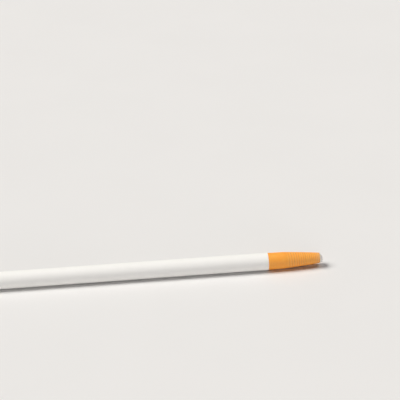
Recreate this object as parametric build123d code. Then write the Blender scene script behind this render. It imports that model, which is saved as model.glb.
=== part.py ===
from build123d import *
import math
import os

# Peel-off china marker: a wax core inside a sheath of wound paper ribbons, with a tear string laid
# along the sheath and a white paper wrap glued round both. The nose is ground to a slender, swelling
# cone, so the edge of every turn of paper shows on it as a fine ring.
#
# The marker lies on the plane Z = 0 with its nose towards +X. The origin is on that plane, below the
# middle of its length. Lengths are in millimetres. Angles run about the axis, from +Y towards +Z.

# Whole marker
OVERALL_LENGTH = 177.8  # seven inches, from the tail face to the nose end
BARREL_DIAMETER = 8.8  # over one thickness of the white wrap

# Wax core
CORE_DIAMETER = 4.76  # three sixteenths of an inch
CORE_RIM_BEVEL = 0.2  # broken edge of the writing end

# Wound paper ribbons
RIBBON_PITCH = 9.525  # three eighths of an inch from one slit to the next
SLIT_WIDTH = 0.06  # the knife cut that parts two ribbons
PAPER_THICKNESS = 0.1  # one turn of ribbon paper
RIBBON_CLEARANCE = 0.03  # radial, from the core to a ribbon's bore

# Ground nose
NOSE_LENGTH = 26.5  # from the wrap's front edge to the nose end
SMOOTH_LENGTH = 7.0  # bare paper between the wrap and the ground cone
CONE_BULGE = 0.1  # how far the cone swells from straight at its middle
NOSE_END_WALL = 0.23  # paper left round the core at the nose end

# White wrap
WRAP_THICKNESS = 0.08
WRAP_CLEARANCE = 0.02  # radial, from the ribbons to the wrap
WRAP_LAP = 3.0  # glued overlap, measured round the barrel
LAP_RAMP = 0.8  # where the sheet climbs over its own first edge
SEAM_ANGLE = 5.0  # the sheet's first edge, in degrees

# Tear string
STRING_DIAMETER = 0.45
STRING_CLEARANCE = 0.03  # from the string to its groove
STRING_ANGLE = -12.0  # just outside the lap, in degrees
STRING_SHOWS = 1.0  # cut end of the string in front of the wrap

# Sizes that follow from those above
AXIS_HEIGHT = BARREL_DIAMETER / 2
NOSE_END = OVERALL_LENGTH / 2
TAIL_END = -OVERALL_LENGTH / 2
WRAP_FRONT = NOSE_END - NOSE_LENGTH
WRAP_BORE = BARREL_DIAMETER / 2 - WRAP_THICKNESS
SHEATH_RADIUS = WRAP_BORE - WRAP_CLEARANCE
RIBBON_BORE = CORE_DIAMETER / 2 + RIBBON_CLEARANCE
RIBBON_COUNT = round(OVERALL_LENGTH / RIBBON_PITCH)
CONE_BACK = WRAP_FRONT + SMOOTH_LENGTH
CONE_LENGTH = NOSE_LENGTH - SMOOTH_LENGTH
NOSE_DROP = SHEATH_RADIUS - RIBBON_BORE - NOSE_END_WALL
TURNS_CUT = round(NOSE_DROP / PAPER_THICKNESS)
TURN_HEIGHT = NOSE_DROP / TURNS_CUT  # the paper thickness, fitted to whole turns
STRING_RADIUS = STRING_DIAMETER / 2
STRING_OFFSET = SHEATH_RADIUS - STRING_RADIUS
STRING_FRONT = WRAP_FRONT + STRING_SHOWS
GROOVE_HALF_WIDTH = STRING_RADIUS + STRING_CLEARANCE


def polar(radius, angle):
    """A point in the section across the marker, at this radius and angle in degrees."""
    return (radius * math.cos(math.radians(angle)), radius * math.sin(math.radians(angle)))


def along(section, back, front):
    """Draws a section across the marker out along its axis, from back to front."""
    return extrude(Plane.YZ.offset(back) * section, front - back)


def cone_distance(drop):
    """How far along the ground cone its side has fallen by this much below the sheath.

    The side is a parabola: it falls by NOSE_DROP over the cone's length, and swells by CONE_BULGE from
    the straight line between its ends.
    """
    straight_fall = NOSE_DROP - 4 * CONE_BULGE
    return 2 * CONE_LENGTH * drop / (straight_fall + math.sqrt(straight_fall**2 + 16 * CONE_BULGE * drop))


def nose_terraces():
    """Points (x, radius) down the ground nose, from the wrap's front edge to the nose end.

    The grinding cuts off one turn of paper after another. Each turn ends where the cone's side crosses
    the middle of its thickness, so the terraces lie evenly above and below that side. The outermost turn
    is rubbed thinner from the wrap on, to half a thickness at its end.
    """
    points = [(WRAP_FRONT, SHEATH_RADIUS)]
    for turn in range(TURNS_CUT):
        x = CONE_BACK + cone_distance((turn + 0.5) * TURN_HEIGHT)
        next_radius = SHEATH_RADIUS - (turn + 1) * TURN_HEIGHT
        edge = TURN_HEIGHT / 2 if turn == 0 else TURN_HEIGHT
        points.append((x, next_radius + edge))
        points.append((x, next_radius))
    points.append((NOSE_END, SHEATH_RADIUS - NOSE_DROP))
    return points


def make_string_groove():
    """The flat-bottomed channel that the string is pressed into, open at the sheath's surface."""
    floor = STRING_OFFSET - GROOVE_HALF_WIDTH
    section = Pos((floor + WRAP_BORE) / 2, 0) * Rectangle(WRAP_BORE - floor, 2 * GROOVE_HALF_WIDTH)
    return along(Rot(0, 0, STRING_ANGLE) * section, TAIL_END, STRING_FRONT)


def make_sheath():
    """The whole paper sheath before it is slit: wound on the core, then ground at the nose."""
    outline = [(TAIL_END, RIBBON_BORE), (TAIL_END, SHEATH_RADIUS), *nose_terraces(), (NOSE_END, RIBBON_BORE)]
    section = make_face(Plane.XZ * Polyline(*outline, close=True))
    return revolve(section, Axis.X) - make_string_groove()


def make_ribbons():
    """The sheath slit across into ribbons, counted from the nose. The last one reaches the tail face."""
    sheath = make_sheath()
    ribbons = []
    for number in range(RIBBON_COUNT):
        is_first = number == 0
        is_last = number == RIBBON_COUNT - 1
        front = NOSE_END if is_first else NOSE_END - number * RIBBON_PITCH - SLIT_WIDTH / 2
        back = TAIL_END if is_last else NOSE_END - (number + 1) * RIBBON_PITCH + SLIT_WIDTH / 2
        ribbons.append(sheath & along(Circle(BARREL_DIAMETER), back, front))
    return ribbons


def make_core():
    """The wax rod. Its writing end is flush with the paper, with a broken edge."""
    rod = along(Circle(CORE_DIAMETER / 2), TAIL_END, NOSE_END)
    writing_rim = rod.edges().sort_by(Axis.X)[-1]
    return chamfer(writing_rim, CORE_RIM_BEVEL)


def make_string():
    """The tear string, from the tail face to its cut end just in front of the wrap."""
    section = Pos(*polar(STRING_OFFSET, STRING_ANGLE)) * Circle(STRING_RADIUS)
    return along(section, TAIL_END, STRING_FRONT)


def make_wrap():
    """The white sheet: once round the sheath, then up over its own first edge and glued along a lap."""
    sheet_radius = BARREL_DIAMETER / 2
    flap_radius = sheet_radius + WRAP_THICKNESS
    lap_angle = math.degrees(WRAP_LAP / sheet_radius)
    ramp_angle = math.degrees(LAP_RAMP / sheet_radius)
    sheet = CenterArc((0, 0), sheet_radius, SEAM_ANGLE + lap_angle, 360 - lap_angle - ramp_angle)
    ramp = Line(sheet @ 1, polar(flap_radius, SEAM_ANGLE))
    flap = CenterArc((0, 0), flap_radius, SEAM_ANGLE, lap_angle)
    flap_edge = Line(flap @ 1, sheet @ 0)
    section = make_face([sheet, ramp, flap, flap_edge]) - Circle(WRAP_BORE)
    return along(section, TAIL_END, WRAP_FRONT)


def write_node(name, part):
    """Sets a piece on the plane Z = 0 with the rest and writes it as its own file."""
    placed = Pos(0, 0, AXIS_HEIGHT) * part
    placed.label = name
    export_step(placed, f"parts/{name}.step")


def main():
    os.makedirs("parts", exist_ok=True)
    write_node("wax_core", make_core())
    for number, ribbon in enumerate(make_ribbons(), start=1):
        write_node(f"peel_ribbon_{number:02d}", ribbon)
    write_node("tear_string", make_string())
    write_node("outer_wrap", make_wrap())


if __name__ == "__main__":
    main()
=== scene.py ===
"""Looks of a peel-off china marker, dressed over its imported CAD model.

The marker lies on the plane Z = 0 with its nose towards +X, as in the CAD model. Lengths are in metres.
Angles about the marker's axis run from +Y towards +Z, and those among a piece's sizes are in degrees.
Pieces are modelled about the X axis and lifted to the marker's axis at the end.
"""

import logging
import math
from dataclasses import dataclass
from enum import Enum
from typing import Any

import bmesh
import bpy
from mathutils import Matrix, Quaternion, Vector, noise


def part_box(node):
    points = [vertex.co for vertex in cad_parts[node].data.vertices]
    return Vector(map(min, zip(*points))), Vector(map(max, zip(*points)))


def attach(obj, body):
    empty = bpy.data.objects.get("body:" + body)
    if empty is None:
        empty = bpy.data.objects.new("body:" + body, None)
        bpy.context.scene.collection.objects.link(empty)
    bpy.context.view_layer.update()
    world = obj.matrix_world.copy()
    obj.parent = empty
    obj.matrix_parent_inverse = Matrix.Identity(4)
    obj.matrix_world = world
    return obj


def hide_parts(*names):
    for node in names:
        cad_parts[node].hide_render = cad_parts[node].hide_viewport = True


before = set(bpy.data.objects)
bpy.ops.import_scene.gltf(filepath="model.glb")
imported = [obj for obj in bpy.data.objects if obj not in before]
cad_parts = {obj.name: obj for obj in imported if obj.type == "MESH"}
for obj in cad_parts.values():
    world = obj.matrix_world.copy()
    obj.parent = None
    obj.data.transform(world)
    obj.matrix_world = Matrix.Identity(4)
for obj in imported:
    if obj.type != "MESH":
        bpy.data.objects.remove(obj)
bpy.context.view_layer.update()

LOG = logging.getLogger("china_marker")
MM = 0.001
AXIS_HEIGHT = 4.4 * MM

# How far the wax point stands out of the paper. The CAD model ends wax and paper at one plane, so the
# paper's front, the wrap's front edge and the string's end lie this much further back here, inside the
# CAD model's box.
POINT_LENGTH = 1.8 * MM

# Faces that meet at more than this angle keep a sharp edge between them.
SHARP_ANGLE = math.radians(38)

# Vertices this close are merged, and a cut takes vertices this close as lying on it.
MERGE_DISTANCE = 0.0005 * MM
CUT_DISTANCE = 0.0001 * MM

# An edge lies in a plane across the axis when both its ends are this close to it.
PLANE_DISTANCE = 0.001 * MM

# The vertex attribute that paints shade and light on the paper's edges: below zero for painted shade in
# creases and for glue with painted shade along the lap, above zero for a paler lip with a painted highlight.
EDGE_SHADE = "edge_shade"


class Body(Enum):
    """The bodies of the CAD model that a piece can ride on."""

    MARKER = "marker"
    FRONT_RIBBON = "front_ribbon"


class Slot(Enum):
    """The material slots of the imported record."""

    WAX = "white_wax"
    RIBBON = "ribbon_paper"
    STRING = "cotton_thread"
    WRAP = "wrap_paper"


def linear(hex_colour: str) -> tuple[float, float, float, float]:
    """Turns an sRGB hex colour into linear red, green, blue and alpha.

    Args:
        hex_colour: Six hex digits, as in "f2ab55".

    Returns:
        The colour as Blender's sockets take it.
    """
    channels = (int(hex_colour[i : i + 2], 16) / 255 for i in (0, 2, 4))
    red, green, blue = (c / 12.92 if c <= 0.04045 else ((c + 0.055) / 1.055) ** 2.4 for c in channels)
    return red, green, blue, 1.0


def add_node(
    tree: bpy.types.NodeTree, kind: str, inputs: dict[str | int, Any] | None = None, **settings: Any
) -> bpy.types.Node:
    """Adds one node with its settings, socket values and links.

    Args:
        tree: The node tree that gets the node.
        kind: The node's type name.
        inputs: For each input, by name or number, a value or the output socket that feeds it.
        **settings: The node's own properties.

    Returns:
        The new node.
    """
    node = tree.nodes.new(kind)
    for name, value in settings.items():
        setattr(node, name, value)
    for key, value in (inputs or {}).items():
        if isinstance(value, bpy.types.NodeSocket):
            tree.links.new(value, node.inputs[key])
        else:
            node.inputs[key].default_value = value
    return node


def empty_material(name: str) -> tuple[bpy.types.Material, bpy.types.NodeTree]:
    """Makes a material with an empty node tree.

    Args:
        name: The real material's common name.

    Returns:
        The material and its tree.
    """
    material = bpy.data.materials.new(name)
    material.use_nodes = True
    material.node_tree.nodes.clear()
    return material, material.node_tree


@dataclass(frozen=True)
class CoatedPaper:
    """White coated paper, calendered smooth and rolled round the barrel.

    The eye gets a warm white with a faint sheen, the cloudy formation of the sheet, a trace of its fibres,
    a little grey from handling and a thin darker line along the lap, of glue and painted shade.
    """

    white: str = "fbfaf7"
    cloud: str = "f6f5f1"
    handled: str = "e4e0da"
    glue_and_shade_line: str = "c9c2b6"
    cloud_mm: float = 5.0
    fibre_mm: float = 0.35
    smudge_mm: float = 22.0
    smudge_share: float = 0.3
    glue_and_shade_share: float = 0.7
    relief_mm: float = 0.02
    drawn_out: tuple[float, float, float] = (0.25, 1.0, 1.0)

    def material(self) -> bpy.types.Material:
        """Builds the wrap's material.

        Returns:
            The material.
        """
        material, tree = empty_material("coated_white_paper")
        coords = add_node(tree, "ShaderNodeTexCoord").outputs["Object"]
        clouds = add_node(
            tree,
            "ShaderNodeTexNoise",
            {"Vector": coords, "Scale": 1 / (self.cloud_mm * MM), "Detail": 3.0, "Roughness": 0.6},
        )
        along = add_node(tree, "ShaderNodeMapping", {"Vector": coords, "Scale": self.drawn_out})
        fibres = add_node(
            tree,
            "ShaderNodeTexNoise",
            {"Vector": along.outputs[0], "Scale": 1 / (self.fibre_mm * MM), "Detail": 4.0, "Roughness": 0.65},
        )
        smudges = add_node(
            tree,
            "ShaderNodeTexNoise",
            {"Vector": along.outputs[0], "Scale": 1 / (self.smudge_mm * MM), "Detail": 5.0, "Roughness": 0.7},
        )
        smudge_share = add_node(
            tree,
            "ShaderNodeMapRange",
            {"Value": smudges.outputs[0], "From Min": 0.52, "From Max": 0.8, "To Max": self.smudge_share},
        )
        sheet = add_node(
            tree,
            "ShaderNodeMix",
            {"Factor": clouds.outputs[0], "A": linear(self.white), "B": linear(self.cloud)},
            data_type="RGBA",
        )
        colour = add_node(
            tree,
            "ShaderNodeMix",
            {"Factor": smudge_share.outputs[0], "A": sheet.outputs["Result"], "B": linear(self.handled)},
            data_type="RGBA",
        )
        edge = add_node(tree, "ShaderNodeAttribute", attribute_name=EDGE_SHADE)
        glue_and_shade_share = add_node(
            tree,
            "ShaderNodeMapRange",
            {"Value": edge.outputs["Fac"], "From Max": -1.0, "To Max": self.glue_and_shade_share},
        )
        # Glue and painted shade darken a thin line along the lap.
        with_glue_and_shade = add_node(
            tree,
            "ShaderNodeMix",
            {"Factor": glue_and_shade_share.outputs[0], "A": colour.outputs["Result"], "B": linear(self.glue_and_shade_line)},
            data_type="RGBA",
        )
        roughness = add_node(
            tree, "ShaderNodeMapRange", {"Value": fibres.outputs[0], "To Min": 0.55, "To Max": 0.72}
        )
        bump = add_node(
            tree,
            "ShaderNodeBump",
            {"Height": fibres.outputs[0], "Strength": 0.25, "Distance": self.relief_mm * MM},
        )
        shader = add_node(
            tree,
            "ShaderNodeBsdfPrincipled",
            {
                "Base Color": with_glue_and_shade.outputs["Result"],
                "Roughness": roughness.outputs[0],
                "Normal": bump.outputs[0],
                "IOR": 1.48,
            },
        )
        add_node(tree, "ShaderNodeOutputMaterial", {"Surface": shader.outputs[0]})
        return material


@dataclass(frozen=True)
class DyedPaper:
    """Soft orange paper, dyed through, wound tight and ground to the nose's shape.

    The eye gets a fibrous orange with the dull sheen that grinding leaves. Painted shade darkens a hairline
    in the creases below each turn, each turn's lip is paler from fraying and carries a painted highlight, and
    the paper is rubbed pale at the nose end.
    """

    orange: str = "ffb54c"
    deep: str = "ffa33a"
    crease_shade: str = "bf6c22"
    frayed_lip_highlight: str = "f9c784"
    rubbed: str = "f2c48e"
    fibre_mm: float = 0.3
    cloud_mm: float = 2.4
    lip_highlight_share: float = 0.45
    crease_shade_share: float = 0.85
    relief_mm: float = 0.04
    rubbed_from: float = 86.2 * MM - POINT_LENGTH
    rubbed_to: float = 89.2 * MM - POINT_LENGTH

    def material(self) -> bpy.types.Material:
        """Builds the ribbons' material for the wound faces.

        Returns:
            The material.
        """
        material, tree = empty_material("dyed_wound_paper")
        coords = add_node(tree, "ShaderNodeTexCoord").outputs["Object"]
        fibres = add_node(
            tree,
            "ShaderNodeTexNoise",
            {"Vector": coords, "Scale": 1 / (self.fibre_mm * MM), "Detail": 5.0, "Roughness": 0.7},
        )
        clouds = add_node(
            tree,
            "ShaderNodeTexNoise",
            {"Vector": coords, "Scale": 1 / (self.cloud_mm * MM), "Detail": 3.0, "Roughness": 0.6},
        )
        tone = add_node(
            tree, "ShaderNodeMath", {0: fibres.outputs[0], 1: clouds.outputs[0]}, operation="MULTIPLY"
        )
        tone_share = add_node(
            tree, "ShaderNodeMapRange", {"Value": tone.outputs[0], "From Min": 0.1, "From Max": 0.45}
        )
        paper = add_node(
            tree,
            "ShaderNodeMix",
            {"Factor": tone_share.outputs[0], "A": linear(self.deep), "B": linear(self.orange)},
            data_type="RGBA",
        )
        edge = add_node(tree, "ShaderNodeAttribute", attribute_name=EDGE_SHADE)
        lip_highlight_share = add_node(
            tree, "ShaderNodeMapRange", {"Value": edge.outputs["Fac"], "To Max": self.lip_highlight_share}
        )
        crease_shade_share = add_node(
            tree,
            "ShaderNodeMapRange",
            {"Value": edge.outputs["Fac"], "From Max": -1.0, "To Max": self.crease_shade_share},
        )
        # Each turn's lip is paler from fraying, with a painted highlight on it.
        with_lip_highlight = add_node(
            tree,
            "ShaderNodeMix",
            {"Factor": lip_highlight_share.outputs[0], "A": paper.outputs["Result"], "B": linear(self.frayed_lip_highlight)},
            data_type="RGBA",
        )
        # Painted shade darkens the creases below each turn.
        with_crease_shade = add_node(
            tree,
            "ShaderNodeMix",
            {"Factor": crease_shade_share.outputs[0], "A": with_lip_highlight.outputs["Result"], "B": linear(self.crease_shade)},
            data_type="RGBA",
        )
        place = add_node(tree, "ShaderNodeSeparateXYZ", {"Vector": coords})
        rubbed_share = add_node(
            tree,
            "ShaderNodeMapRange",
            {"Value": place.outputs[0], "From Min": self.rubbed_from, "From Max": self.rubbed_to},
        )
        rubbed_patch = add_node(
            tree, "ShaderNodeMath", {0: rubbed_share.outputs[0], 1: clouds.outputs[0]}, operation="MULTIPLY"
        )
        colour = add_node(
            tree,
            "ShaderNodeMix",
            {"Factor": rubbed_patch.outputs[0], "A": with_crease_shade.outputs["Result"], "B": linear(self.rubbed)},
            data_type="RGBA",
        )
        bump = add_node(
            tree,
            "ShaderNodeBump",
            {"Height": fibres.outputs[0], "Strength": 0.5, "Distance": self.relief_mm * MM},
        )
        shader = add_node(
            tree,
            "ShaderNodeBsdfPrincipled",
            {
                "Base Color": colour.outputs["Result"],
                "Roughness": 0.6,
                "Normal": bump.outputs[0],
                "IOR": 1.5,
            },
        )
        add_node(tree, "ShaderNodeOutputMaterial", {"Surface": shader.outputs[0]})
        return material


@dataclass(frozen=True)
class CutPaperEdge:
    """The same orange paper where a knife has cut straight across its turns.

    The eye gets a paler, felted ring with the turns as fine spiral lines. The turns are 0.1 mm thick and
    too fine to show in the render, so the lines are drawn two turns apart.
    """

    pale: str = "eeaf62"
    line: str = "b0662a"
    line_pitch_mm: float = 0.2
    fibre_mm: float = 0.15
    relief_mm: float = 0.04

    def material(self) -> bpy.types.Material:
        """Builds the ribbons' material for the slit faces and the tail face.

        Returns:
            The material.
        """
        material, tree = empty_material("cut_edge_of_wound_paper")
        coords = add_node(tree, "ShaderNodeTexCoord").outputs["Object"]
        place = add_node(
            tree,
            "ShaderNodeMapping",
            {"Vector": coords, "Location": (0.0, 0.0, -AXIS_HEIGHT), "Scale": (0.0, 1.0, 1.0)},
        )
        radius = add_node(tree, "ShaderNodeVectorMath", {0: place.outputs[0]}, operation="LENGTH")
        parts = add_node(tree, "ShaderNodeSeparateXYZ", {"Vector": place.outputs[0]})
        angle = add_node(
            tree, "ShaderNodeMath", {0: parts.outputs[2], 1: parts.outputs[1]}, operation="ARCTAN2"
        )
        turns = add_node(
            tree,
            "ShaderNodeMath",
            {0: radius.outputs["Value"], 1: 1 / (self.line_pitch_mm * MM)},
            operation="MULTIPLY",
        )
        spiral = add_node(
            tree,
            "ShaderNodeMath",
            {0: angle.outputs[0], 1: 1 / math.tau, 2: turns.outputs[0]},
            operation="MULTIPLY_ADD",
        )
        half_pitch = 0.5
        wave = add_node(tree, "ShaderNodeMath", {0: spiral.outputs[0], 1: half_pitch}, operation="PINGPONG")
        line = add_node(
            tree, "ShaderNodeMapRange", {"Value": wave.outputs[0], "From Min": 0.26, "From Max": 0.46}
        )
        fibres = add_node(
            tree,
            "ShaderNodeTexNoise",
            {"Vector": coords, "Scale": 1 / (self.fibre_mm * MM), "Detail": 3.0, "Roughness": 0.6},
        )
        line_share = add_node(
            tree, "ShaderNodeMath", {0: line.outputs[0], 1: fibres.outputs[0]}, operation="MULTIPLY"
        )
        colour = add_node(
            tree,
            "ShaderNodeMix",
            {"Factor": line_share.outputs[0], "A": linear(self.pale), "B": linear(self.line)},
            data_type="RGBA",
        )
        bump = add_node(
            tree,
            "ShaderNodeBump",
            {"Height": line_share.outputs[0], "Strength": 0.6, "Distance": self.relief_mm * MM},
        )
        shader = add_node(
            tree,
            "ShaderNodeBsdfPrincipled",
            {
                "Base Color": colour.outputs["Result"],
                "Roughness": 0.9,
                "Normal": bump.outputs[0],
                "IOR": 1.45,
            },
        )
        add_node(tree, "ShaderNodeOutputMaterial", {"Surface": shader.outputs[0]})
        return material


@dataclass(frozen=True)
class PressedWax:
    """White marking wax, pressed into a rod.

    The eye gets a translucent, faintly creamy white with a dull polish, drawn lines along the rod and a
    dusty bloom.
    """

    white: str = "efe9dc"
    bloom: str = "f7f4ec"
    bloom_mm: float = 1.6
    pit_mm: float = 0.4
    draw_line_mm: float = 0.25
    glow_mm: float = 1.2
    relief_mm: float = 0.04
    drawn_out: tuple[float, float, float] = (0.03, 1.0, 1.0)

    def material(self) -> bpy.types.Material:
        """Builds the core's material.

        Returns:
            The material.
        """
        material, tree = empty_material("pressed_white_wax")
        coords = add_node(tree, "ShaderNodeTexCoord").outputs["Object"]
        bloom = add_node(
            tree,
            "ShaderNodeTexNoise",
            {"Vector": coords, "Scale": 1 / (self.bloom_mm * MM), "Detail": 5.0, "Roughness": 0.65},
        )
        drawn = add_node(tree, "ShaderNodeMapping", {"Vector": coords, "Scale": self.drawn_out})
        lines = add_node(
            tree,
            "ShaderNodeTexNoise",
            {"Vector": drawn.outputs[0], "Scale": 1 / (self.draw_line_mm * MM), "Detail": 3.0},
        )
        pits = add_node(
            tree,
            "ShaderNodeTexNoise",
            {"Vector": coords, "Scale": 1 / (self.pit_mm * MM), "Detail": 2.0, "Roughness": 0.5},
        )
        relief = add_node(tree, "ShaderNodeMath", {0: lines.outputs[0], 1: pits.outputs[0]}, operation="ADD")
        colour = add_node(
            tree,
            "ShaderNodeMix",
            {"Factor": bloom.outputs[0], "A": linear(self.white), "B": linear(self.bloom)},
            data_type="RGBA",
        )
        roughness = add_node(
            tree, "ShaderNodeMapRange", {"Value": bloom.outputs[0], "To Min": 0.35, "To Max": 0.6}
        )
        bump = add_node(
            tree,
            "ShaderNodeBump",
            {"Height": relief.outputs[0], "Strength": 0.5, "Distance": self.relief_mm * MM},
        )
        shader = add_node(
            tree,
            "ShaderNodeBsdfPrincipled",
            {
                "Base Color": colour.outputs["Result"],
                "Roughness": roughness.outputs[0],
                "Normal": bump.outputs[0],
                "IOR": 1.44,
                "Subsurface Weight": 0.35,
                "Subsurface Radius": (1.0, 0.8, 0.6),
                "Subsurface Scale": self.glow_mm * MM,
            },
        )
        add_node(tree, "ShaderNodeOutputMaterial", {"Surface": shader.outputs[0]})
        return material


@dataclass(frozen=True)
class CottonYarn:
    """Unbleached cotton yarn, two plies twisted together.

    The eye gets a dull cream thread with darker fibres between its plies.
    """

    cream: str = "ded6c2"
    shade: str = "b9ae95"
    fibre_mm: float = 0.08
    relief_mm: float = 0.02
    drawn_out: tuple[float, float, float] = (0.3, 1.0, 1.0)

    def material(self) -> bpy.types.Material:
        """Builds the tear string's material.

        Returns:
            The material.
        """
        material, tree = empty_material("unbleached_cotton_yarn")
        coords = add_node(tree, "ShaderNodeTexCoord").outputs["Object"]
        drawn = add_node(tree, "ShaderNodeMapping", {"Vector": coords, "Scale": self.drawn_out})
        fibres = add_node(
            tree,
            "ShaderNodeTexNoise",
            {"Vector": drawn.outputs[0], "Scale": 1 / (self.fibre_mm * MM), "Detail": 3.0},
        )
        colour = add_node(
            tree,
            "ShaderNodeMix",
            {"Factor": fibres.outputs[0], "A": linear(self.shade), "B": linear(self.cream)},
            data_type="RGBA",
        )
        bump = add_node(
            tree,
            "ShaderNodeBump",
            {"Height": fibres.outputs[0], "Strength": 0.6, "Distance": self.relief_mm * MM},
        )
        shader = add_node(
            tree,
            "ShaderNodeBsdfPrincipled",
            {
                "Base Color": colour.outputs["Result"],
                "Roughness": 0.9,
                "Normal": bump.outputs[0],
                "Sheen Weight": 0.2,
            },
        )
        add_node(tree, "ShaderNodeOutputMaterial", {"Surface": shader.outputs[0]})
        return material


@dataclass(frozen=True)
class SweepPaper:
    """The pale studio paper that the marker lies on: matt, with a trace of cloudiness."""

    pale: str = "ecebea"
    cloud: str = "e9e8e7"
    cloud_mm: float = 60.0

    def material(self) -> bpy.types.Material:
        """Builds the floor's material.

        Returns:
            The material.
        """
        material, tree = empty_material("studio_paper")
        coords = add_node(tree, "ShaderNodeTexCoord").outputs["Object"]
        clouds = add_node(
            tree, "ShaderNodeTexNoise", {"Vector": coords, "Scale": 1 / (self.cloud_mm * MM), "Detail": 2.0}
        )
        colour = add_node(
            tree,
            "ShaderNodeMix",
            {"Factor": clouds.outputs[0], "A": linear(self.pale), "B": linear(self.cloud)},
            data_type="RGBA",
        )
        shader = add_node(
            tree,
            "ShaderNodeBsdfPrincipled",
            {"Base Color": colour.outputs["Result"], "Roughness": 0.95, "Specular IOR Level": 0.1},
        )
        add_node(tree, "ShaderNodeOutputMaterial", {"Surface": shader.outputs[0]})
        return material


def make_piece(
    bm: bmesh.types.BMesh, name: str, finishes: list[bpy.types.Material], body: Body, node: str
) -> None:
    """Turns a mesh modelled about the X axis into a piece of the marker that stands for a CAD node.

    Args:
        bm: The mesh, which is freed here.
        name: The piece's name.
        finishes: Its materials, in the order of the faces' material numbers.
        body: The body that it rides on.
        node: The CAD node that it replaces.
    """
    bmesh.ops.translate(bm, verts=bm.verts, vec=(0.0, 0.0, AXIS_HEIGHT))
    mesh = bpy.data.meshes.new(name)
    bm.to_mesh(mesh)
    bm.free()
    mesh.shade_smooth()
    mesh.set_sharp_from_angle(angle=SHARP_ANGLE)
    for finish in finishes:
        mesh.materials.append(finish)
    piece = bpy.data.objects.new(name, mesh)
    bpy.context.scene.collection.objects.link(piece)
    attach(piece, body.value)
    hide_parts(node)
    LOG.info("%s stands for %s: %d faces", name, node, len(mesh.polygons))


def chain(bm: bmesh.types.BMesh, points: list[tuple[float, float]]) -> list[bmesh.types.BMVert]:
    """Draws a profile for a spin, from points (x, radius) in the half plane towards +Y.

    Args:
        bm: The mesh that gets the profile.
        points: The profile's points in order.

    Returns:
        Its vertices.
    """
    verts = [bm.verts.new((x, radius, 0.0)) for x, radius in points]
    for start, end in zip(verts, verts[1:]):
        bm.edges.new((start, end))
    return verts


def of_kind(geometry: list[Any], kind: type) -> list[Any]:
    """Picks the vertices, the edges or the faces from what an operator returns."""
    return [item for item in geometry if isinstance(item, kind)]


def spin_round(bm: bmesh.types.BMesh, steps: int, merge: bool) -> list[bmesh.types.BMVert]:
    """Spins all that the mesh holds once round the X axis.

    Args:
        bm: The mesh with a profile.
        steps: The number of steps in the full turn.
        merge: Whether the last step is joined to the first.

    Returns:
        The vertices of the last step.
    """
    spun = bmesh.ops.spin(
        bm,
        geom=bm.verts[:] + bm.edges[:],
        cent=(0.0, 0.0, 0.0),
        axis=(1.0, 0.0, 0.0),
        angle=math.tau,
        steps=steps,
        use_merge=merge,
    )
    return of_kind(spun["geom_last"], bmesh.types.BMVert)


def lies_across(edge: bmesh.types.BMEdge, x: float) -> bool:
    """Tells whether an edge lies in the plane across the axis at x."""
    return all(abs(vert.co.x - x) < PLANE_DISTANCE for vert in edge.verts)


def smooth_step(low: float, high: float, value: float) -> float:
    """Rises smoothly from 0 at low to 1 at high."""
    share = min(1.0, max(0.0, (value - low) / (high - low)))
    return share * share * (3.0 - 2.0 * share)


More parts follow.
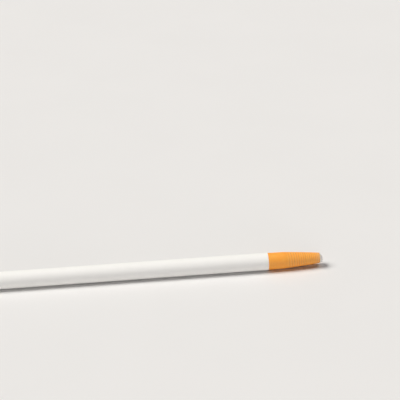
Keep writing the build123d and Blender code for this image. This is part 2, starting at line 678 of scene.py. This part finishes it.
@dataclass
class WoundSheath:
    """The paper sheath: a ground nose of three bare ribbons, and the covered ribbons behind it.

    The paper is one strip wound spirally, so on the ground nose the edge of its turns is one spiral line
    that shows as rings. A turn is counted by how much of the strip's thickness the grinding has taken.
    """

    outer_radius: float = 4.3 * MM
    bore_radius: float = 2.41 * MM
    nose_length: float = 26.5 * MM
    smooth_length: float = 7.0 * MM
    cone_bulge: float = 0.1 * MM
    end_radius: float = 2.64 * MM
    paper: float = 0.1 * MM
    steps: int = 180

    # The string's groove in the covered paper, and how far its front end runs out
    groove_depth: float = 0.48 * MM
    groove_angle: float = -12.0
    groove_half_width: float = 3.0
    groove_front: float = 63.4 * MM - POINT_LENGTH
    groove_run_out: float = 1.2 * MM

    # Grinding rubs the bare paper down towards the cone, by this share of a turn's height. It rubs the first
    # turns' edges away too: they rise from nothing to full height between these two turns.
    rubbed_share: float = 0.5
    feathered: tuple[float, float] = (1.8, 2.6)

    # The skin starts and ends this many turns outside the ground cone, and is cut to length afterwards.
    # Behind the cone each turn is this long.
    turns_behind: int = 3
    turns_past: int = 2
    smooth_pitch: float = 4.0 * MM

    # How far the turns' edges drift and fray, in turns, and how much the strip's tone varies. The grains are
    # how fast each changes, from turn to turn and round the axis.
    wobble: float = 0.07
    wobble_grain: tuple[float, float] = (0.8, 2.0)
    fray: float = 0.05
    fray_grain: tuple[float, float] = (1.7, 11.0)
    strip_tone: float = 0.16
    strip_tone_grain: float = 1.6

    # The CAD nodes that get new meshes, and the number of the cut faces' material on them
    nose_ribbons: tuple[str, ...] = ("peel_ribbon_01", "peel_ribbon_02", "peel_ribbon_03")
    tail_ribbon: str = "peel_ribbon_19"
    cut_finish: int = 1

    # One turn's shape: the share of the turn, the lift from the cone's side in paper thicknesses, and the
    # painted light on its edge, from -1 for painted shade in the creases to 1 for a paler lip with a painted
    # highlight.
    turn_shape: tuple[tuple[float, float, float], ...] = (
        (0.0, -0.5, -0.9),
        (0.08, -0.44, -0.75),
        (0.2, -0.3, 0.0),
        (0.5, 0.0, 0.0),
        (0.75, 0.24, 0.2),
        (0.9, 0.36, 0.8),
        (0.97, 0.34, 1.0),
        (1.0, 0.22, 0.4),
    )

    def __post_init__(self) -> None:
        """Works out the ground cone, which starts a little in front of the wrap."""
        self.front_of_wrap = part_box("outer_wrap")[1].x - POINT_LENGTH
        self.cone_back = self.front_of_wrap + self.smooth_length
        self.cone_length = self.nose_length - self.smooth_length
        self.drop = self.outer_radius - self.end_radius
        self.turns = round(self.drop / self.paper)
        self.turn_height = self.drop / self.turns

    def cone_distance(self, fallen: float) -> float:
        """Finds where along the ground cone its side has fallen this far below the sheath.

        Args:
            fallen: How far the side has fallen. It is a parabola that swells by cone_bulge at its middle.

        Returns:
            The distance from the cone's back.
        """
        straight_fall = self.drop - 4 * self.cone_bulge
        root = math.sqrt(straight_fall**2 + 16 * self.cone_bulge * fallen)
        return 2 * self.cone_length * fallen / (straight_fall + root)

    @staticmethod
    def uneven(turn: float, around: Vector, grain: tuple[float, float]) -> float:
        """Gives a value that wanders smoothly about zero over the sheath, the same in each run."""
        per_turn, round_axis = grain
        return noise.noise(Vector((turn * per_turn, around.y * round_axis, around.z * round_axis)))

    def place(self, turn: float, lift: float, angle: float) -> Vector:
        """Finds a point of the ground sheath.

        Args:
            turn: How many turns of paper the grinding has taken there; below zero behind the ground cone.
            lift: How far the point stands above the cone's side, in paper thicknesses.
            angle: Its angle about the axis, in radians.

        Returns:
            The point, about the X axis.
        """
        around = Vector((0.0, math.cos(angle), math.sin(angle)))
        bare = smooth_step(*self.feathered, turn)
        drift = self.wobble * self.uneven(turn, around, self.wobble_grain)
        nick = self.fray * self.uneven(turn, around, self.fray_grain)
        turn += bare * (drift + nick)
        fallen = max(0.0, turn) * self.turn_height
        x = self.cone_back + (self.cone_distance(fallen) if turn > 0.0 else turn * self.smooth_pitch)
        rubbed = self.rubbed_share * self.turn_height * smooth_step(self.front_of_wrap, self.cone_back, x)
        radius = self.outer_radius - max(rubbed, fallen) + lift * self.turn_height * bare
        if self.in_groove(angle) and x < self.groove_front + self.groove_run_out:
            radius -= self.groove_depth if x < self.groove_front else 0.0
            x = min(x, self.groove_front)
        return Vector((x, 0.0, 0.0)) + around * radius

    def in_groove(self, angle: float) -> bool:
        """Tells whether an angle in radians lies in the string's groove."""
        away = (math.degrees(angle) - self.groove_angle + 180.0) % 360.0 - 180.0
        return abs(away) < self.groove_half_width

    def nose_skin(self) -> bmesh.types.BMesh:
        """Models the skin of the nose as one spiral, a little past both ends.

        Returns:
            The open skin, about the X axis.
        """
        bm = bmesh.new()
        turn_layer = bm.verts.layers.float.new("turn")
        lift_layer = bm.verts.layers.float.new("lift")
        shade_layer = bm.verts.layers.float.new(EDGE_SHADE)
        shapes = [
            (number + share, lift, shade)
            for number in range(-self.turns_behind, self.turns + self.turns_past)
            for share, lift, shade in self.turn_shape
        ]
        verts = chain(bm, [(self.place(turn, lift, 0.0).x, self.outer_radius) for turn, lift, _ in shapes])
        for vert, (turn, lift, shade) in zip(verts, shapes):
            vert[turn_layer], vert[lift_layer], vert[shade_layer] = turn, lift, shade
        last = set(spin_round(bm, self.steps, merge=False))
        for vert in bm.verts:
            angle = math.tau if vert in last else math.atan2(vert.co.z, vert.co.y) % math.tau
            turn = vert[turn_layer] + angle / math.tau
            vert.co = self.place(turn, vert[lift_layer], angle)
            along_strip = math.floor(vert[turn_layer]) + angle / math.tau
            tone = self.strip_tone * noise.noise(Vector((along_strip * self.strip_tone_grain, 0.0, 0.0)))
            # The edge shade paints shade in the creases and a highlight on the lips, fades in with the bare
            # turns, and adds a random tone along the strip.
            vert[shade_layer] = smooth_step(*self.feathered, turn) * (vert[shade_layer] + tone)
        bmesh.ops.remove_doubles(bm, verts=bm.verts, dist=MERGE_DISTANCE)
        return bm

    def tail_skin(self) -> bmesh.types.BMesh:
        """Models the plain skin of the last ribbon, which the wrap covers.

        Returns:
            The open skin, about the X axis.
        """
        bm = bmesh.new()
        low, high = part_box(self.tail_ribbon)
        chain(bm, [(low.x - MM, self.outer_radius), (high.x + MM, self.outer_radius)])
        spin_round(bm, self.steps, merge=True)
        for vert in bm.verts:
            angle = math.atan2(vert.co.z, vert.co.y)
            if self.in_groove(angle):
                vert.co -= Vector((0.0, math.cos(angle), math.sin(angle))) * self.groove_depth
        return bm

    def close_ribbon(self, bm: bmesh.types.BMesh, back: float, front: float) -> None:
        """Cuts a skin at two planes across the axis, and closes it to a ribbon with a bore.

        Args:
            bm: The skin.
            back: Where the ribbon starts along X.
            front: Where it ends.
        """
        inner_loops: list[bmesh.types.BMEdge] = []
        for x, outward in ((back, -1.0), (front, 1.0)):
            bmesh.ops.bisect_plane(
                bm,
                geom=bm.verts[:] + bm.edges[:] + bm.faces[:],
                dist=CUT_DISTANCE,
                plane_co=(x, 0.0, 0.0),
                plane_no=(outward, 0.0, 0.0),
                clear_outer=True,
            )
        for x in (back, front):
            rim = [edge for edge in bm.edges if edge.is_boundary and lies_across(edge, x)]
            grown = bmesh.ops.extrude_edge_only(bm, edges=rim)["geom"]
            for vert in of_kind(grown, bmesh.types.BMVert):
                radial = Vector((0.0, vert.co.y, vert.co.z)).normalized()
                vert.co = Vector((x, 0.0, 0.0)) + radial * self.bore_radius
            for face in of_kind(grown, bmesh.types.BMFace):
                face.material_index = self.cut_finish
            inner_loops += of_kind(grown, bmesh.types.BMEdge)
        bmesh.ops.bridge_loops(bm, edges=inner_loops)
        bmesh.ops.recalc_face_normals(bm, faces=bm.faces)

    def build(self, wound: bpy.types.Material, cut: bpy.types.Material) -> None:
        """Builds and dresses every ribbon.

        Args:
            wound: The finish of the wound and ground faces.
            cut: The finish of the faces cut across.
        """
        nose = self.nose_skin()
        for node in self.nose_ribbons:
            ribbon = nose.copy()
            low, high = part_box(node)
            is_front = node == self.nose_ribbons[0]
            self.close_ribbon(ribbon, low.x, high.x - POINT_LENGTH if is_front else high.x)
            body = Body.FRONT_RIBBON if is_front else Body.MARKER
            make_piece(ribbon, f"ground_{node}", [wound, cut], body, node)
        nose.free()
        tail = self.tail_skin()
        low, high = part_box(self.tail_ribbon)
        self.close_ribbon(tail, low.x, high.x)
        make_piece(tail, f"cut_{self.tail_ribbon}", [wound, cut], Body.MARKER, self.tail_ribbon)
        self.dress_covered(wound)

    def dress_covered(self, wound: bpy.types.Material) -> None:
        """Gives the ribbons that the wrap hides their paper.

        Args:
            wound: The finish of the wound faces.
        """
        shown = {*self.nose_ribbons, self.tail_ribbon}
        for name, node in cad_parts.items():
            if name.startswith("peel_ribbon_") and name not in shown:
                node.data.materials.clear()
                node.data.materials.append(wound)


@dataclass
class OuterWrap:
    """The white sheet: rolled once round the sheath, then over its own first edge and glued along a lap."""

    radius: float = 4.4 * MM
    thickness: float = 0.078 * MM
    first_edge: float = 5.0
    lap: float = 39.07
    ramp: float = 10.42
    flap_lift: float = 0.078 * MM
    string_angle: float = 348.0
    ridge: float = 0.025 * MM
    ridge_half_width: float = 5.0
    glue_and_shade_width: float = 4.0
    steps: int = 280
    lengths: int = 48

    def sheet_radius(self, angle: float) -> float:
        """Finds the sheet's outer radius.

        Args:
            angle: The angle along the rolled sheet, in degrees; past a full turn it is on the flap.

        Returns:
            The radius there, with the climb on to the flap and the ridge over the string.
        """
        full_turn = self.first_edge + 360.0
        climb = smooth_step(full_turn - self.ramp, full_turn, angle)
        over_string = 1.0 - smooth_step(0.0, self.ridge_half_width, abs(angle - self.string_angle))
        return self.radius + self.flap_lift * climb + self.ridge * over_string

    def lap_glue_and_shade(self, angle: float) -> float:
        """Paints a narrow line of glue and shade on the flap's free edge and on the sheet beside it.

        Args:
            angle: The angle along the rolled sheet, in degrees.

        Returns:
            The share of glue and painted shade there, from 0 to 1.
        """
        free_edge = self.first_edge + 360.0 + self.lap
        beside = angle - (free_edge - 360.0)
        on_flap = 1.0 - smooth_step(0.0, self.glue_and_shade_width, free_edge - angle)
        on_sheet = 1.0 - smooth_step(0.0, self.glue_and_shade_width, beside) if beside >= 0.0 else 0.0
        return max(on_flap, on_sheet)

    def build(self, coated: bpy.types.Material) -> None:
        """Builds and dresses the wrap.

        Args:
            coated: Its finish.
        """
        low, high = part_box("outer_wrap")
        length = high.x - POINT_LENGTH - low.x
        bm = bmesh.new()
        shade_layer = bm.verts.layers.float.new(EDGE_SHADE)
        start = bm.verts.new((low.x, self.radius, 0.0))
        sweep = 360.0 + self.lap
        bmesh.ops.spin(
            bm,
            geom=[start],
            cent=(0.0, 0.0, 0.0),
            axis=(1.0, 0.0, 0.0),
            angle=math.radians(sweep),
            steps=self.steps,
            use_merge=False,
        )
        ring = self.in_order(start)
        for number, vert in enumerate(ring):
            angle = self.first_edge + sweep * number / self.steps
            turned = math.radians(angle)
            radius = self.sheet_radius(angle)
            vert.co = (low.x, radius * math.cos(turned), radius * math.sin(turned))
            # Glue and painted shade darken the line along the lap.
            vert[shade_layer] = -self.lap_glue_and_shade(angle)
        edges = bm.edges[:]
        for _ in range(self.lengths):
            grown = bmesh.ops.extrude_edge_only(bm, edges=edges)["geom"]
            edges = of_kind(grown, bmesh.types.BMEdge)
            moved = of_kind(grown, bmesh.types.BMVert)
            bmesh.ops.translate(bm, verts=moved, vec=(length / self.lengths, 0.0, 0.0))
        bmesh.ops.recalc_face_normals(bm, faces=bm.faces)
        bmesh.ops.solidify(bm, geom=bm.faces[:], thickness=self.thickness)
        make_piece(bm, "white_wrap", [coated], Body.MARKER, "outer_wrap")

    @staticmethod
    def in_order(start: bmesh.types.BMVert) -> list[bmesh.types.BMVert]:
        """Walks along a chain of edges.

        Args:
            start: The chain's first vertex.

        Returns:
            Its vertices in order.
        """
        ordered, edge = [start], None
        while True:
            onward = [link for link in ordered[-1].link_edges if link is not edge]
            if not onward:
                return ordered
            edge = onward[0]
            ordered.append(edge.other_vert(ordered[-1]))


@dataclass
class TearString:
    """Two plies twisted together, pressed into the sheath's groove under the wrap."""

    ply_radius: float = 0.1125 * MM
    from_axis: float = 4.075 * MM
    angle: float = -12.0
    twist: float = 2.6 * MM
    steps_per_twist: int = 8
    sides: int = 8

    def build(self, yarn: bpy.types.Material) -> None:
        """Builds and dresses the string.

        Args:
            yarn: Its finish.
        """
        low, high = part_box("tear_string")
        turned = math.radians(self.angle)
        centre = Vector((low.x, self.from_axis * math.cos(turned), self.from_axis * math.sin(turned)))
        length = high.x - POINT_LENGTH - low.x
        steps = round(length / self.twist * self.steps_per_twist)
        bm = bmesh.new()
        for side in (-1.0, 1.0):
            place = Matrix.Translation(centre + Vector((0.0, side * self.ply_radius, 0.0)))
            turn = Matrix.Rotation(math.pi / 2, 4, "Y")
            ply = bmesh.ops.create_circle(
                bm, cap_ends=True, radius=self.ply_radius, segments=self.sides, matrix=place @ turn
            )["verts"]
            faces = {face for vert in ply for face in vert.link_faces}
            edges = {edge for vert in ply for edge in vert.link_edges}
            bmesh.ops.spin(
                bm,
                geom=[*ply, *edges, *faces],
                cent=centre,
                axis=(1.0, 0.0, 0.0),
                dvec=(length / steps, 0.0, 0.0),
                angle=math.tau * length / self.twist,
                steps=steps,
                use_merge=False,
            )
        bmesh.ops.recalc_face_normals(bm, faces=bm.faces)
        make_piece(bm, "twisted_string", [yarn], Body.MARKER, "tear_string")


@dataclass
class WaxCore:
    """The wax rod, cut square at the tail, with a crowned point at the writing end that is worn to a slant.

    Heights on the point are measured along the rod from the paper's front. The crown is the height at the
    middle, the fall and the edge are what it loses towards the rim, and the slant is what the top loses and
    the bottom gains.
    """

    radius: float = 2.38 * MM
    tail_edge: float = 0.06 * MM
    bared_length: float = 12.0 * MM
    crown: float = 1.69 * MM
    fall: float = 0.85 * MM
    edge: float = 0.17 * MM
    edge_sharpness: int = 12
    slant: float = 0.6 * MM
    point_rings: tuple[float, ...] = (1.0, 0.975, 0.94, 0.88, 0.78, 0.65, 0.5, 0.35, 0.2, 0.0)
    steps: int = 96

    def point_height(self, across: float, up: float) -> float:
        """Finds the point's height.

        Args:
            across: The distance from the axis, as a share of the rod's radius.
            up: How much of it is upwards, as a share of the rod's radius.

        Returns:
            The height in front of the paper.
        """
        return self.crown - self.fall * across**2 - self.edge * across**self.edge_sharpness - self.slant * up

    def build(self, wax: bpy.types.Material) -> None:
        """Builds and dresses the core.

        Args:
            wax: Its finish.
        """
        low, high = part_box("wax_core")
        paper_end = high.x - POINT_LENGTH
        rod = [
            (low.x, 0.0),
            (low.x, self.radius - self.tail_edge),
            (low.x + self.tail_edge, self.radius),
            (paper_end - self.bared_length, self.radius),
        ]
        point = [
            (paper_end + self.point_height(across, 0.0), across * self.radius) for across in self.point_rings
        ]
        bm = bmesh.new()
        chain(bm, rod + point)
        spin_round(bm, self.steps, merge=True)
        bmesh.ops.remove_doubles(bm, verts=bm.verts, dist=MERGE_DISTANCE)
        for vert in bm.verts:
            if vert.co.x > paper_end:
                across = math.hypot(vert.co.y, vert.co.z) / self.radius
                vert.co.x = paper_end + self.point_height(across, vert.co.z / self.radius)
        bmesh.ops.recalc_face_normals(bm, faces=bm.faces)
        make_piece(bm, "wax_rod", [wax], Body.MARKER, "wax_core")


@dataclass(frozen=True)
class Lamp:
    """A soft lamp so far away that it lights the whole floor evenly.

    Its spread is the angle in degrees that its face fills as seen from the marker, and its strength is the
    light that it throws, in watts per square metre. A lamp that doesn't gleam gives no highlights.
    """

    name: str
    towards: tuple[float, float, float]
    spread: float
    strength: float
    colour: str
    gleams: bool = True

    def hang(self) -> None:
        """Hangs the lamp so that it shines on the marker from its direction."""
        light = bpy.data.lights.new(self.name, "SUN")
        light.angle = math.radians(self.spread)
        light.energy, light.color = self.strength, linear(self.colour)[:3]
        hung = bpy.data.objects.new(self.name, light)
        bpy.context.scene.collection.objects.link(hung)
        hung.visible_glossy = self.gleams
        hung.location = Vector(self.towards)
        hung.rotation_mode = "QUATERNION"
        hung.rotation_quaternion = (-Vector(self.towards)).to_track_quat("-Z", "Y")


@dataclass
class Studio:
    """The pale floor, soft lamps on three sides, and the camera at the photograph's angle.

    The key light comes from above the tail, a card brightens the front of the barrel, and another lights the
    nose end from above.
    """

    floor_half: float = 12.0
    camera_at: tuple[float, float, float] = (-0.02018, -0.57796, 0.33932)
    camera_aim: tuple[float, float, float] = (0.03366, 0.0818, 0.0)
    camera_roll: float = -1.76
    lens_mm: float = 118.73
    sensor_mm: float = 36.0
    clip: tuple[float, float] = (0.01, 50.0)
    lamps: tuple[Lamp, ...] = (
        Lamp("softbox", (-0.6, 0.12, 0.79), spread=34.0, strength=3.0, colour="fffdf8"),
        Lamp("front_card", (-0.1, -0.95, 0.14), spread=28.0, strength=0.72, colour="fffcff"),
        Lamp("end_card", (0.58, 0.05, 0.81), spread=24.0, strength=0.66, colour="fffcff", gleams=False),
    )
    ambient: str = "e9ecf2"
    ambient_strength: float = 0.045
    backdrop: str = "efece7"

    def build(self, paper: bpy.types.Material) -> None:
        """Builds the floor, lamps, world and camera.

        Args:
            paper: The floor's finish.
        """
        self.lay_floor(paper)
        for lamp in self.lamps:
            lamp.hang()
        self.fill_world()
        self.set_camera()
        bpy.context.scene.view_settings.view_transform = "Standard"

    def lay_floor(self, paper: bpy.types.Material) -> None:
        """Lays the floor under the marker.

        Args:
            paper: Its finish.
        """
        bm = bmesh.new()
        bmesh.ops.create_grid(bm, x_segments=1, y_segments=1, size=self.floor_half)
        mesh = bpy.data.meshes.new("studio_floor")
        bm.to_mesh(mesh)
        bm.free()
        mesh.materials.append(paper)
        floor = bpy.data.objects.new("studio_floor", mesh)
        bpy.context.scene.collection.objects.link(floor)

    def fill_world(self) -> None:
        """Fills the room with a little even light, and shows the eye and reflections a pale backdrop."""
        world = bpy.data.worlds.new("studio")
        bpy.context.scene.world = world
        world.use_nodes = True
        tree = world.node_tree
        tree.nodes.clear()
        rays = add_node(tree, "ShaderNodeLightPath").outputs
        mirrored = add_node(
            tree,
            "ShaderNodeMath",
            {0: rays["Is Glossy Ray"], 1: rays["Is Transmission Ray"]},
            operation="ADD",
        )
        seen = add_node(
            tree,
            "ShaderNodeMath",
            {0: rays["Is Camera Ray"], 1: mirrored.outputs[0]},
            operation="ADD",
            use_clamp=True,
        )
        room = add_node(
            tree, "ShaderNodeBackground", {"Color": linear(self.ambient), "Strength": self.ambient_strength}
        )
        backdrop = add_node(tree, "ShaderNodeBackground", {"Color": linear(self.backdrop), "Strength": 1.0})
        both = add_node(
            tree, "ShaderNodeMixShader", {0: seen.outputs[0], 1: room.outputs[0], 2: backdrop.outputs[0]}
        )
        add_node(tree, "ShaderNodeOutputWorld", {"Surface": both.outputs[0]})

    def set_camera(self) -> None:
        """Sets the camera where the photograph was taken from."""
        data = bpy.data.cameras.new("camera")
        data.lens = self.lens_mm
        data.sensor_width = self.sensor_mm
        data.clip_start, data.clip_end = self.clip
        camera = bpy.data.objects.new("camera", data)
        bpy.context.scene.collection.objects.link(camera)
        sight = Vector(self.camera_aim) - Vector(self.camera_at)
        roll = Quaternion((0.0, 0.0, 1.0), math.radians(self.camera_roll))
        camera.location = self.camera_at
        camera.rotation_mode = "QUATERNION"
        camera.rotation_quaternion = sight.to_track_quat("-Z", "Y") @ roll
        bpy.context.scene.camera = camera


def main() -> None:
    logging.basicConfig(level=logging.INFO, format="%(name)s: %(message)s")
    WaxCore().build(PressedWax().material())
    WoundSheath().build(DyedPaper().material(), CutPaperEdge().material())
    TearString().build(CottonYarn().material())
    OuterWrap().build(CoatedPaper().material())
    Studio().build(SweepPaper().material())


if __name__ == "__main__":
    main()
